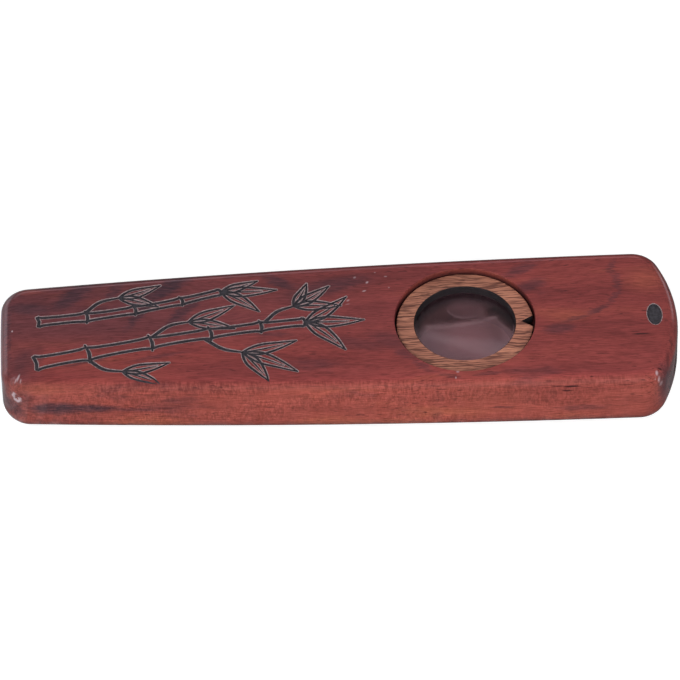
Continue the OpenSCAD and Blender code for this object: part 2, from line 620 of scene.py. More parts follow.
WOOD_DEEP = rgb(0.228, 0.041, 0.040)
WOOD_MID = rgb(0.300, 0.055, 0.050)
# A warm tone of the wood, also the tone of painted light on the front
WARM_TONE_AND_LIGHT = rgb(0.372, 0.084, 0.056)
# The dull, purplish tone of painted shade on the top
DULL_SHADE_TONE = rgb(0.150, 0.044, 0.053)
# Dark smoke in the wood, also the tone of painted dark reflections
SMOKE_AND_DARK_REFLECTION = rgb(0.055, 0.028, 0.040)
# Open pores and seams, also the tone of painted dark reflections at the mouth end
OPEN_PORE_AND_REFLECTION = rgb(0.040, 0.012, 0.014)
GLUE_LINE = rgb(0.03, 0.01, 0.01)
# The pale tone of dust specks and of painted highlights
PALE_SPECK_AND_HIGHLIGHT = rgb(0.66, 0.50, 0.54)
# What the long sides' colour is multiplied by: partly the side grain's lighter tone, partly painted light
# from the front
SIDE_LIGHT_AND_GRAIN = rgb(1.17, 1.4, 1.15)
DUST = rgb(0.38, 0.22, 0.22)
# The tone of painted shade on the seat's walls
SEAT_SHADE_TONE = rgb(0.030, 0.010, 0.011)
# Soot, also the tone of painted shade in the chamber
SOOT_AND_SHADE = rgb(0.044, 0.030, 0.034)
# The film's tint, which also paints shade on the chamber seen through it
FILM_TINT_AND_SHADE = rgb(0.72, 0.64, 0.67)

# Dark figure in the wood, and a band of painted dark reflection at the narrow end: centre, half length and
# half width, turn in degrees, strength
TOP_BLOT_DEEP = 4
TOP_SMOKE_AND_REFLECTION = [
    ((-48, 9.1), (4.8, 1.8), 43, 0.8),
    ((-56, 6.4), (4.4, 1.5), -6, 0.7),
    ((-40.5, 9.7), (2.8, 1.1), 64, 0.6),
    ((-35.3, 5.2), (5.4, 1.1), 58, 0.85),
    ((-31, 10.2), (5.4, 1.7), 34, 0.95),
    ((-28, 4.2), (5.4, 1.2), 50, 0.75),
    ((-45, -7.1), (5, 0.5), 14, 0.6),
    ((-56.4, -6.4), (3.8, 2.4), 50, 0.5),
    ((-33, -6.6), (6, 0.5), 10, 0.5),
    ((-10.4, 10.8), (4, 1.3), -32, 0.75),
    ((-2, 9.2), (8.5, 2.1), 14, 0.65),
    ((-11.9, -2.1), (3.2, 0.6), -3, 0.5),
    ((3, -5), (6, 1.6), -12, 0.4),
    ((9.4, -4.6), (5, 2.2), -20, 0.45),
    ((33.4, 12), (3.6, 1.2), 26, 0.6),
    ((35, 8), (3, 1.5), 26, 0.6),
    ((39.4, -3.1), (3, 1.3), 5, 0.6),
    ((43, -0.6), (3.4, 0.5), 16, 0.5),
    ((46.6, 1.2), (2.6, 0.6), 26, 0.65),
    ((49.8, 4.4), (2.6, 0.6), 56, 0.45),
    ((50.6, 8.2), (2.4, 0.7), 95, 0.5),
    ((49.8, 11.8), (2, 0.7), 80, 0.5),
    # A band of painted dark reflection along the narrow end's upper edge
    ((-59.5, 0), (0.45, 11), 0, 0.5),
    ((11.4, -7.8), (2.2, 1.2), -35, 0.5),
    ((14.6, -11), (2.6, 0.8), -42, 0.5),
    ((19, -13.6), (2.6, 0.5), -16, 0.4),
    ((26, -13.6), (2.4, 0.45), 6, 0.5),
]
# The same on the front, with painted dark reflections at the mouth end's front corner: centre, half sizes
# along X, Y and Z, and strength
FRONT_SMOKE_AND_REFLECTIONS = [
    ((-51.3, -13, 6.7), (5.6, 3, 1.6), 1.0),
    ((-45, -13.3, 6.8), (5.2, 3, 1.05), 0.95),
    ((-37, -13.8, 6.5), (5.5, 3, 0.5), 0.6),
    ((-59, -11.6, 6), (2.4, 3, 2.2), 0.8),
    ((-56.6, -12.4, 8.4), (1.8, 2.5, 3.2), 0.4),
    ((28.6, -16.2, 6.2), (2.4, 2, 0.25), 0.5),
    ((43, -16.2, 5.6), (5, 2, 0.8), 0.45),
    # Painted dark reflections on the mouth end's front corner
    ((58, -13.6, 9.2), (1.9, 2.2, 4.4), 0.75),
    ((60, -12, 6), (1.8, 3.6, 5), 0.85),
]
# Short open seams in the grain, and dark lines of painted reflection along the mouth end's upper edge:
# centre, half sizes along X, Y and Z, and strength
SEAMS_AND_DARK_REFLECTIONS = [
    ((54, -5.1, 12.5), (1.7, 0.2, 1), 0.85),
    ((53, -4.5, 12.5), (1.2, 0.12, 1), 0.5),
    ((47, -9.6, 12.5), (1.6, 0.14, 1), 0.5),
    ((45.4, -6.4, 12.5), (0.8, 0.14, 1), 0.5),
    ((41, -16, 11), (1.7, 2, 0.2), 0.95),
    ((38.4, -16, 11.1), (1.1, 2, 0.12), 0.6),
    ((40.2, -16, 10.1), (1, 2, 0.2), 0.95),
    ((51.8, -16, 8.6), (0.5, 2, 0.25), 0.5),
    ((55, -15.6, 8.7), (0.4, 2, 0.22), 0.5),
    ((50.6, -16, 11), (1.6, 2, 0.12), 0.5),
    # Painted dark reflections along the mouth end's upper edge
    ((59.4, -8, 12.3), (0.28, 2.6, 1), 0.45),
    ((58.5, -11.6, 12), (0.36, 2.2, 1.2), 0.5),
    ((56.9, -13.5, 12.1), (0.5, 0.25, 0.5), 0.8),
]
# Warm patches, and painted light on the front: centre, half sizes and strength
WARM_AND_LIT_PATCHES = [
    ((41, -0.2, 12.5), (4.4, 1.5, 3), 0.75),
    ((55.6, 8.4, 12.5), (4.2, 3.4, 3), 0.7),
    ((-54.5, -12.6, 11.2), (5.5, 2.4, 1.4), 0.3),
    ((-55.4, 10.8, 12), (3.6, 1.3, 3), 0.6),
    ((-50.5, 9.4, 12.5), (2.4, 1.1, 3), 0.45),
    ((-43.5, 7.4, 12.5), (3.2, 1.2, 3), 0.45),
    # The next two are painted light on the front
    ((-34, -12.6, 2.4), (9, 3, 2.8), 0.8),
    ((27, -13.5, 9), (11, 3, 4), 0.4),
]
# Runs of thick varnish at the front corners: centre, half sizes and strength
VARNISH_RUNS = [
    ((-58, -11, 12), (1.3, 1, 1), 0.7),
    ((-58, -12, 9.1), (1.5, 1.4, 1.5), 1.0),
    ((56.6, -15, 10.6), (0.9, 1.3, 1.7), 0.9),
]
# Pale loops of painted highlight in one: centre, half sizes, and the side on which each loop is open
HIGHLIGHT_LOOPS = [
    ((-58.1, -12.1, 9.1), (0.7, 3, 1.1), (0.5, 0, 0.85)),
    ((-58.0, -12.1, 8.7), (0.28, 3, 0.45), (-0.5, 0, 0.85)),
]
# Small pale marks: dust specks on the varnish, and painted highlights at the front corners and the narrow
# end's edge: centre, half sizes, turn in degrees and strength
PALE_SPECKS_AND_HIGHLIGHTS = [
    # Painted highlights on the mouth end's front corner
    ((56.3, -14.4, 12), (0.3, 0.5, 0.6), 0, 0.6),
    ((56.7, -15, 10.9), (0.3, 0.6, 0.8), 0, 0.4),
    ((57.1, -14.8, 9.6), (0.4, 0.6, 0.6), 0, 0.35),
    # Dust specks on the top
    ((3.2, 11.4, 12.5), (0.32, 0.24, 1), 40, 0.35),
    ((5.4, 10.05, 12.5), (0.34, 0.22, 1), 50, 0.6),
    ((4.8, 7.95, 12.5), (0.42, 0.2, 1), 20, 0.5),
    ((1.8, 5.7, 12.5), (0.36, 0.2, 1), 38, 0.45),
    ((1.7, 4.8, 12.5), (0.5, 0.12, 1), 8, 0.25),
    ((8.8, 11.4, 12.5), (0.3, 0.17, 1), 0, 0.35),
    ((6.9, 12.5, 12.5), (0.2, 0.15, 1), 0, 0.3),
    ((9.3, 8.6, 12.5), (0.16, 0.2, 1), 0, 0.3),
    # A painted highlight on the narrow end's edge
    ((-58.8, 0.95, 12.5), (0.15, 0.22, 1), 0, 1.0),
    # Dust specks near the front edge
    ((20.8, -12.85, 12.5), (0.32, 0.28, 1), 0, 0.45),
    ((20.4, -14.2, 12), (0.18, 0.28, 0.6), 0, 0.8),
    # Painted highlights on the narrow end's front corner
    ((-57.7, -10.4, 12.3), (0.2, 0.8, 1), -22, 0.6),
    ((-58.2, -10.9, 12.3), (0.16, 0.55, 1), -30, 0.45),
    ((-57.3, -11.1, 12.2), (0.14, 0.4, 1), -15, 0.35),
]


def tinted(n, colour, shade):
    """The colour times a grey shade."""
    return n.mix(1.0, colour, n.add("ShaderNodeCombineColor", {0: shade, 1: shade, 2: shade}).outputs[0],
                 "MULTIPLY")


def blots(n, at, places, low, high):
    """The strongest of some soft blots at each point."""
    return reduce(n.most, [n.spot(at, centre, size, angle, low, high, strength)
                           for centre, size, angle, strength in places])


def unturned(places):
    """The places with no turn about Z."""
    return [(centre, size, 0, strength) for centre, size, strength in places]


def highlight_loops(n):
    """1 along the open loops of painted highlight, and 0 elsewhere."""
    wobbly = n.vector("ADD", n.mm, n.scaled(n.noise(n.mm, 1.6, 1, out="Color"), 0.5))
    loops = []
    for centre, size, opening in HIGHLIGHT_LOOPS:
        at = n.place(n.vector("SUBTRACT", wobbly, (0.25, 0.25, 0.25)), centre, size)
        off_line = n.apart(n.length(at), 0.9)
        towards = n.vector("DOT_PRODUCT", at, opening, "Value")
        loops.append(n.times(n.fade(off_line, 0.5, 0.05), n.fade(towards, 0.7, 0.1)))
    return reduce(n.most, loops)


def facing(n):
    """How far the surface faces along X, Y and Z."""
    return n.parts(n.add("ShaderNodeNewGeometry").outputs["True Normal"])


def facing_aside(n):
    """Near 1 where the surface faces a long side, and 0 where it faces up, down or an end."""
    across = facing(n)[1]
    return n.most(n.times(across, -1), n.minus(across, 0.3))


def wood_figure(n):
    """Colour and height sockets of the dark red wood, a solid texture with its grain along X."""
    # The grain wanders a little along the body
    wander = n.noise(n.scaled(n.mm, (0.018, 0.045, 0.045)), 1, 2, 0.5, out="Color")
    wandered = n.vector("ADD", n.mm, n.scaled(n.vector("SUBTRACT", wander, (0.5, 0.5, 0.5)), (0, 9, 7)))
    bands = n.noise(n.scaled(wandered, (0.03, 0.22, 0.2)), 1, 3, 0.5)
    streaks = n.noise(n.scaled(wandered, (0.07, 1.3, 1.2)), 1, 2, 0.5)
    fibres = n.noise(n.scaled(wandered, (0.36, 4.6, 4.2)), 1, 3, 0.7)
    pores = n.noise(n.scaled(wandered, (0.5, 4.6, 4.2)), 1, 1, 0.5)
    crowd = n.noise(n.scaled(wandered, (0.05, 0.16, 0.2)), 1, 2, 0.5)

    # Feathered edges for the figure: fine along the fibres, coarse across
    ragged = n.noise(n.scaled(n.mm, (0.4, 1.8, 1.5)), 1, 4, 0.7, out="Color")
    ragged = n.vector("SUBTRACT", ragged, (0.5, 0.5, 0.5))
    feathered = n.vector("ADD", n.mm, n.scaled(ragged, (4.4, 1.2, 1.0)))
    frayed = n.vector("ADD", n.mm, n.scaled(ragged, (1.2, 0.25, 0.25)))

    top = [((*middle, BODY_T), (*size, TOP_BLOT_DEEP), angle, strength)
           for middle, size, angle, strength in TOP_SMOKE_AND_REFLECTION]
    # Dark figure, and painted dark reflections at both ends
    smoke_and_reflections = blots(n, feathered, top + unturned(FRONT_SMOKE_AND_REFLECTIONS), 1.4, 0.4)
    warm_and_lit = blots(n, feathered, unturned(WARM_AND_LIT_PATCHES), 1.4, 0.1)
    # Fainter smoke all over, so that no side is plain
    drift = n.noise(n.scaled(feathered, (0.05, 0.13, 0.16)), 1, 4, 0.6)
    drift = n.times(n.fade(drift, 0.56, 0.74, 0, 0.5), n.minus(1, warm_and_lit))
    smoke_and_reflections = n.times(n.most(smoke_and_reflections, drift), n.fade(fibres, 0.35, 0.65, 1.0, 0.72))
    # Open seams, and painted dark reflections along the mouth end's upper edge
    seams_and_reflections = blots(n, frayed, unturned(SEAMS_AND_DARK_REFLECTIONS), 1.3, 0.5)

    colour = n.mix(n.fade(bands, 0.28, 0.6), WOOD_DEEP, WOOD_MID)
    colour = n.mix(n.fade(bands, 0.56, 0.78, 0, 0.7), colour, WARM_TONE_AND_LIGHT)
    colour = n.mix(warm_and_lit, colour, WARM_TONE_AND_LIGHT)
    # Painted shade makes the top darker and duller at the narrow end, mostly on its far half, and the long
    # sides are lighter, partly by painted light
    aside = facing_aside(n)
    x, y = n.parts(feathered)[:2]
    dull_shade = n.times(n.fade(x, -48, 32, 0.8, 0), n.fade(y, -6.5, 1.5))
    dull_shade = n.most(dull_shade, n.fade(x, -52, -58, 0, 0.5))
    dull_shade = n.times(n.times(dull_shade, n.fade(aside, 0.2, 0.8, 1, 0.1)), n.minus(1, n.times(warm_and_lit, 0.6)))
    colour = n.mix(dull_shade, colour, DULL_SHADE_TONE)
    colour = n.mix(n.fade(aside, 0.2, 0.9), colour, n.mix(1.0, colour, SIDE_LIGHT_AND_GRAIN, "MULTIPLY"))
    # More painted shade on the top towards the narrow end and on its far half short of the mouth end, and
    # painted light towards the front
    narrow = n.times(n.fade(x, -18, -40), n.fade(aside, 0.2, 0.8, 0.08, 0))
    far = n.times(n.fade(y, 4, 10, 0, 0.1), n.fade(x, 30, 5))
    front_light = n.fade(y, -8, -12, 1, 1.1)
    colour = tinted(n, colour, n.minus(n.minus(front_light, narrow), far))
    # Painted shade on the front's upper edge, darker towards the narrow end
    across, up = facing(n)[1:]
    edge = n.fade(n.times(across, up), -0.15, -0.45)
    colour = tinted(n, colour, n.plus(n.times(edge, n.fade(x, 8, 32, -0.16, 0)), 1))
    colour = n.mix(smoke_and_reflections, colour, SMOKE_AND_DARK_REFLECTION)
    shade = n.times(n.fade(fibres, 0.3, 0.7, 0.75, 1.25), n.fade(streaks, 0.3, 0.7, 0.93, 1.07))
    colour = tinted(n, colour, shade)
    open_pores = n.fade(pores, 0.64, 0.74)
    dashes = n.times(open_pores, n.fade(crowd, 0.4, 0.62, 0.2, 0.8))
    colour = n.mix(n.most(dashes, seams_and_reflections), colour, OPEN_PORE_AND_REFLECTION)
    return colour, n.minus(n.times(fibres, 0.35), n.most(open_pores, seams_and_reflections))


def ray_flecks(n, colour):
    """Tiny ripples across the grain on the long sides, where the cut shows the wood's rays."""
    ripples = n.noise(n.scaled(n.mm, (2.1, 0.35, 0.85)), 1, 2, 0.6, 0.8)
    where = n.noise(n.scaled(n.mm, (0.05, 0.02, 0.25)), 1, 1)
    amount = n.times(n.fade(where, 0.4, 0.6, 0.35, 1), n.fade(facing_aside(n), 0.2, 0.5))
    amount = n.times(amount, n.fade(n.parts(n.mm)[0], 40, 56, 1, 0.4))
    return tinted(n, colour, n.plus(n.times(n.fade(ripples, 0.33, 0.67, -0.22, 0.22), amount), 1))


def varnished_wood():
    n = Nodes("varnished_wood")
    colour, height = wood_figure(n)
    colour = ray_flecks(n, colour)
    # The glue line between the shells
    off_seam = n.apart(n.parts(n.mm)[2], SEAM_Z)
    colour = n.mix(n.fade(off_seam, 0.05, 0.01, 0, 0.3), colour, GLUE_LINE)
    waves = n.noise(n.mm, 0.35, 2, 0.5)
    worn = n.noise(n.mm, 0.22, 3, 0.6)
    runs = blots(n, n.mm, unturned(VARNISH_RUNS), 1.2, 0.3)
    curls = n.times(runs, n.noise(n.mm, 1.1, 1, 0.5, 1.5))
    # Painted highlights, in loops on a varnish run and as marks at the corners, and pale dust specks
    pale = n.times(highlight_loops(n), n.fade(n.noise(n.mm, 2.5, 1), 0.35, 0.6, 0.7, 1))
    pale = n.most(pale, blots(n, n.mm, PALE_SPECKS_AND_HIGHLIGHTS, 1.3, 0.3))
    colour = n.mix(pale, colour, PALE_SPECK_AND_HIGHLIGHT)
    coat = {
        "Specular IOR Level": 0.12,
        "Coat Weight": 1.0,
        "Coat Roughness": 0.07,
        "Coat IOR": 1.5,
        "Coat Normal": n.bump(curls, 0.0012, 1, n.bump(waves, 0.00006, 0.35)),
    }
    return n.surface(colour, n.fade(worn, 0.3, 0.7, 0.34, 0.46), n.bump(height, 0.00003, 0.35), coat)


# The chamber's soot and painted shade end this far into the slots, and leave a spot of painted light on its
# floor
SOOT_SHADE_W = 4
LIT_FLOOR_SPOT = (WINDOW_X + 0.3, 0.5)
# The depths from the ends at which painted shade begins in the slots, and is full
SLOT_SHADE_FROM = 0.4
SLOT_SHADE_FULL = 5


def raw_wood(name, other, roughness, seat_shade=False):
    """Wood without varnish: its colour mixed with another, dark with soot and painted shade in the chamber,
    and with painted shade deeper in the slots.
    """
    n = Nodes(name)
    colour, height = wood_figure(n)
    marks = n.noise(n.scaled(n.mm, (2.4, 0.3, 0.3)), 1, 1)
    parts = n.parts(n.mm)

    def off(x, y):
        return n.length(n.scaled(n.vector("SUBTRACT", n.mm, (x, y, 0)), (1, 1, 0)))

    inside = n.fade(off(WINDOW_X, 0), WINDOW_R + SOOT_SHADE_W, WINDOW_R + 0.5)
    # Soot and painted shade: darker up the chamber's walls, and away from a spot of painted light on its
    # floor
    soot_and_shade = n.most(n.fade(parts[2], CHANNEL_Z - 1.5, CHANNEL_Z + 6.2),
                  n.fade(off(*LIT_FLOOR_SPOT), 2, 9, 0.12, 0.62))
    # On the seat's walls painted shade is deepest low down, and fades towards the rim
    share = n.fade(parts[2], RING_HIGH.z - 0.4, BODY_T, 0.85, 0.2) if seat_shade else 0.75
    colour = n.mix(share, colour, other)
    colour = n.mix(n.times(inside, soot_and_shade), colour, SOOT_AND_SHADE)
    if not seat_shade:
        # Painted shade darkens the slots inwards
        slot_shade = n.fade(n.apart(parts[0], 0), BODY_L / 2 - SLOT_SHADE_FROM, BODY_L / 2 - SLOT_SHADE_FULL, 1, 0.15)
        colour = tinted(n, colour, n.most(slot_shade, inside))
    bump = n.bump(n.plus(height, n.times(marks, 0.5)), 0.00008, 0.6)
    rough = n.fade(marks, 0.3, 0.7, roughness - 0.09, roughness + 0.09)
    return n.surface(colour, rough, bump, {"Specular IOR Level": 0.15})


def bare_wood():
    """The pale, dusty wood inside the wind channel."""
    return raw_wood("bare_wood", DUST, 0.71)


def seat_shade_wood():
    """The dark walls of the seat and the sound window: painted shade, lighter towards the rim."""
    return raw_wood("seat_shade_wood", SEAT_SHADE_TONE, 0.5, seat_shade=True)


def charred_wood():
    """The burnt floor and walls of the engraving."""
    n = Nodes("charred_wood")
    ash = n.noise(n.mm, 2.2, 3, 0.6)
    colour = n.mix(n.fade(ash, 0.35, 0.7), rgb(0.038, 0.034, 0.041), rgb(0.068, 0.062, 0.074))
    bump = n.bump(n.noise(n.mm, 5, 3, 0.7), 0.00006, 0.6)
    return n.surface(colour, n.fade(ash, 0.3, 0.7, 0.5, 0.7), bump, {"Specular IOR Level": 0.35})


def cut_varnish_sheen():
    """The pale edge where the engraving has broken the varnish, partly a painted highlight along the
    groove's rim.
    """
    n = Nodes("cut_varnish_sheen")
    chips = n.noise(n.mm, 2.6, 2, 0.6)
    colour = n.mix(n.fade(chips, 0.3, 0.7), rgb(0.24, 0.15, 0.15), rgb(0.42, 0.32, 0.33))
    return n.surface(colour, n.fade(chips, 0.3, 0.7, 0.3, 0.5), n.bump(chips, 0.00004, 0.5))


def ring_wood():
    """Light, bare wood with dense short dark pores along X."""
    n = Nodes("ring_wood")
    wander = n.noise(n.scaled(n.mm, (0.09, 0.12, 0.12)), 1, 2, 0.5, out="Color")
    wandered = n.vector("ADD", n.mm, n.scaled(n.vector("SUBTRACT", wander, (0.5, 0.5, 0.5)), (0, 2.2, 1.5)))
    tone = n.noise(n.scaled(wandered, (0.08, 0.4, 0.4)), 1, 2, 0.5)
    pores = n.noise(n.scaled(wandered, (0.2, 3.3, 3)), 1, 2, 0.6)
    fibres = n.noise(n.scaled(wandered, (0.4, 9, 8)), 1, 2, 0.6)
    colour = n.mix(n.fade(tone, 0.3, 0.7), rgb(0.52, 0.204, 0.132), rgb(0.66, 0.282, 0.178))
    colour = n.mix(n.fade(fibres, 0.35, 0.7, 0, 0.55), colour, rgb(0.26, 0.100, 0.068))
    colour = n.mix(n.fade(pores, 0.45, 0.6, 0, 0.95), colour, rgb(0.155, 0.058, 0.043))
    x, y = n.parts(n.mm)[:2]
    # Painted shade darkens the ring's far side, and painted light brightens its near side and its mouth-end
    # side
    colour = tinted(n, colour, n.times(n.fade(y, 4, 11, 1, 0.84), n.fade(y, -5, -10, 1, 1.09)))
    colour = tinted(n, colour, n.fade(x, WINDOW_X - WINDOW_R, WINDOW_X + WINDOW_R, 0.92, 1.08))
    bump = n.bump(n.minus(n.times(fibres, 0.3), n.fade(pores, 0.5, 0.65)), 0.00006, 0.5)
    return n.surface(colour, n.fade(fibres, 0.3, 0.7, 0.45, 0.6), bump, {"Specular IOR Level": 0.3})


def scorched_shaded_edge():
    """The ring's burnt cut edges, near-black also as painted shade in its notch, hole and rim gap."""
    n = Nodes("scorched_shaded_edge")
    burn = n.noise(n.scaled(n.mm, (1.2, 1.2, 0.5)), 1, 3, 0.6)
    colour = n.mix(n.fade(burn, 0.3, 0.7), rgb(0.015, 0.012, 0.014), rgb(0.028, 0.022, 0.025))
    bump = n.bump(burn, 0.00005, 0.5)
    return n.surface(colour, n.fade(burn, 0.3, 0.7, 0.6, 0.8), bump, {"Specular IOR Level": 0.2})


def clear_film():
    """Thin clear film, whose tint also paints shade on the chamber seen through it. Lamps shine through it
    into the chamber.
    """
    n = Nodes("clear_film")
    haze = n.noise(n.mm, 0.25, 3, 0.5)
    glass = n.add("ShaderNodeBsdfPrincipled", {
        "Base Color": FILM_TINT_AND_SHADE,
        "Roughness": n.fade(haze, 0.3, 0.7, 0.02, 0.06),
        "IOR": 1.5,
        "Transmission Weight": 1.0,
        "Normal": n.bump(haze, 0.00002, 0.2),
    })
    clear = n.add("ShaderNodeBsdfTransparent", {"Color": FILM_TINT_AND_SHADE})
    lamps = n.add("ShaderNodeLightPath").outputs["Is Shadow Ray"]
    mixed = n.add("ShaderNodeMixShader", {0: lamps, 1: glass.outputs[0], 2: clear.outputs[0]})
    return n.finish(mixed)


# The pieces

def dress(piece, body, node):
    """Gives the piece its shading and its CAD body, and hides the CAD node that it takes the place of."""
    smooth(piece)
    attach(piece, body)
    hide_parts(node)


def add_materials(pieces, materials):
    for piece in pieces:
        for material in materials:
            piece.data.materials.append(material)


def make_shells():
    materials = [varnished_wood(), charred_wood(), cut_varnish_sheen(), bare_wood(), seat_shade_wood()]
    carving = [seat_cutter(), oval_mark()] + bamboo()
    for shell, node, more in ((top_blank(), "body_top", carving), (bottom_blank(), "body_bottom", [])):
        cutters = [slot_cutter(MOUTH_W, True), slot_cutter(EXIT_W, False), chamber_cutter()] + more
        add_materials([shell] + cutters, materials)
        cut(shell, cutters)
        dress(shell, "kazoo_body", node)


def make_ring():
    low, high, eased = RING_LOW.z, RING_HIGH.z, RING_EASED
    profile = [(RING_R, low + eased), (RING_R, high - eased), (RING_R - eased, high),
               (WINDOW_R + eased, high), (WINDOW_R, high - eased), (WINDOW_R, low)]
    n = CIRCLE_STEPS
    points = [p for r, z in profile + [(RING_R - eased, low)] for p in circle(r, z, WINDOW_X)]
    loops = len(profile) + 1
    # The rim, the hole, and the eased edges inside and below are burnt, and near-black as painted shade
    burnt_shaded_loops = (0, 3, 4, 6)
    faces = []
    for k in range(loops):
        for i in range(n):
            j = (i + 1) % n
            after = (k + 1) % loops
            faces.append((k * n + i, k * n + j, after * n + j, after * n + i))
    ring = make_mesh("membrane_ring_turned", points, faces)
    tip = (WINDOW_X + RING_R - NOTCH_DEEP, 0)
    wide = NOTCH_W / 2 * (NOTCH_DEEP + OVERRUN) / NOTCH_DEEP
    out = WINDOW_X + RING_R + OVERRUN
    wedge = [tip, (out, -wide), (out, wide)]
    cutter = stack("notch_cutter", [[(x, y, z) for x, y in wedge] for z in (low - OVERRUN, high + OVERRUN)],
                   SCORCHED_SHADED)
    for polygon in ring.data.polygons:
        if polygon.index // n in burnt_shaded_loops:
            polygon.material_index = SCORCHED_SHADED
    add_materials([ring, cutter], [ring_wood(), scorched_shaded_edge()])
    cut(ring, [cutter])
    dress(ring, "ring", "membrane_ring")


FILM_SAG = 0.36
# One soft fold across the sheet
FOLD_LEAN = 0.03
FOLD_X = 4.2
FOLD_W = 1.6
FILM_RINGS = 40


def make_film():
    """A thin slack sheet: flat where the ring holds it, sagging with a soft fold inside."""
    thick = FILM_HIGH.z - FILM_LOW.z
    n = CIRCLE_STEPS

    def height(radius, turn):
        inner = max(0.0, 1 - (radius / WINDOW_R) ** 2)
        x, y = radius * math.cos(turn), radius * math.sin(turn)
        lean = FOLD_LEAN * math.exp(-((x - FOLD_X) / FOLD_W) ** 2)
        return -inner * (FILM_SAG + lean * y / WINDOW_R)

    points = []
    for side in (1, 0):
        for k in range(1, FILM_RINGS + 1):
            radius = RING_R * k / FILM_RINGS
            for i in range(n):
                turn = math.tau * i / n
                points.append((WINDOW_X + radius * math.cos(turn), radius * math.sin(turn),
                               FILM_LOW.z + side * thick + height(radius, turn)))
    middles = [len(points), len(points) + 1]
    points += [(WINDOW_X, 0, FILM_LOW.z + side * thick + height(0, 0)) for side in (1, 0)]
    faces = []
    for side, base in ((0, 0), (1, FILM_RINGS * n)):
        for i in range(n):
            j = (i + 1) % n
            quads = [(middles[side], base + i, base + j)]
            for k in range(FILM_RINGS - 1):
                a = base + k * n
                quads.append((a + i, a + n + i, a + n + j, a + j))
            faces += [q if side == 0 else tuple(reversed(q)) for q in quads]
    rim = (FILM_RINGS - 1) * n
    under = FILM_RINGS * n + rim
    faces += [(rim + i, under + i, under + (i + 1) % n, rim + (i + 1) % n) for i in range(n)]
    film = make_mesh("membrane_film", points, faces)
    add_materials([film], [clear_film()])
    dress(film, "film", "membrane")


# The camera and the studio

# The photograph's view, fitted to the outline: turns in degrees, distances in millimetres
CAMERA_YAW = 0.9514
CAMERA_DOWN = 46.5303
CAMERA_ROLL = 1.3289
CAMERA_ASIDE = 0.0202
CAMERA_UP = -5.6675
CAMERA_AWAY = 1210.0821
SENSOR = 36
PICTURE_SIDE = 680
FOCAL_PIXELS = 6677.1
# In metres
CLIP_START = 0.05
CLIP_END = 50


def make_camera():
    data = bpy.data.cameras.new("camera")
    data.sensor_width = SENSOR
    data.lens = FOCAL_PIXELS / PICTURE_SIDE * SENSOR
    data.clip_start = CLIP_START
    data.clip_end = CLIP_END
    camera = add_object("camera", data)
    turned = (Matrix.Rotation(-math.radians(CAMERA_YAW), 4, "Z")
              @ Matrix.Rotation(math.radians(90 - CAMERA_DOWN), 4, "X")
              @ Matrix.Rotation(-math.radians(CAMERA_ROLL), 4, "Z"))
    placed = Vector((-CAMERA_ASIDE, -CAMERA_UP, CAMERA_AWAY)) * MM
    camera.matrix_world = turned @ Matrix.Translation(placed)
    bpy.context.scene.camera = camera


def lamp(name, azimuth, elevation, distance, size, power, mirrored=True):
    """An area lamp that faces the kazoo. Azimuth 0 is in front, and 90 is to the right.
    Its distance and size are in metres."""
    data = bpy.data.lights.new(name, "AREA")
    data.shape = "DISK"
    data.size = size
    data.energy = power
    light = add_object(name, data)
    a, e = math.radians(azimuth), math.radians(elevation)
    away = Vector((math.sin(a) * math.cos(e), -math.cos(a) * math.cos(e), math.sin(e)))
    light.location = away * distance
    light.rotation_mode = "QUATERNION"
    light.rotation_quaternion = away.to_track_quat("Z", "Y")
    light.visible_glossy = mirrored


def where_seen(tree):
    """1 for what the camera, gloss or glass sees, and 0 for light that falls on things."""
    path = tree.nodes.new("ShaderNodeLightPath")
    seen = path.outputs["Is Camera Ray"]
    for ray in ("Is Glossy Ray", "Is Transmission Ray"):
        either = tree.nodes.new("ShaderNodeMath")
        either.operation = "MAXIMUM"
        tree.links.new(seen, either.inputs[0])
        tree.links.new(path.outputs[ray], either.inputs[1])
        seen = either.outputs[0]
    return seen


def seen_range(tree, unseen, seen):
    """A value that is one number where seen and another for light that falls on things."""
    node = tree.nodes.new("ShaderNodeMapRange")
    tree.links.new(where_seen(tree), node.inputs["Value"])
    node.inputs["To Min"].default_value = unseen
    node.inputs["To Max"].default_value = seen
    return node.outputs["Result"]


FLOOR_SIDE = 40000
FLOOR_DROP = 0.05
FLOOR_LIGHT = 0.8
FLOOR_TONE = 0.42


def make_floor():
    far = FLOOR_SIDE / 2
    floor = make_mesh("floor", [(-far, -far, 0), (far, -far, 0), (far, far, 0), (-far, far, 0)],
                      [(0, 1, 2, 3)])
    floor.location.z = -FLOOR_DROP * MM
    material = bpy.data.materials.new("pale_floor")
    material.use_nodes = True
    tree = material.node_tree
    shader = tree.nodes["Principled BSDF"]
    shader.inputs["Base Color"].default_value = rgb(FLOOR_TONE, FLOOR_TONE, FLOOR_TONE)
    shader.inputs["Roughness"].default_value = 0.9
    shader.inputs["Specular IOR Level"].default_value = 0
    shader.inputs["Emission Color"].default_value = rgb(1, 1, 1)
    tree.links.new(seen_range(tree, 0, FLOOR_LIGHT), shader.inputs["Emission Strength"])
    floor.data.materials.append(material)


ROOM_R = 2500
ROOM_TONE = rgb(0.100, 0.122, 0.126)
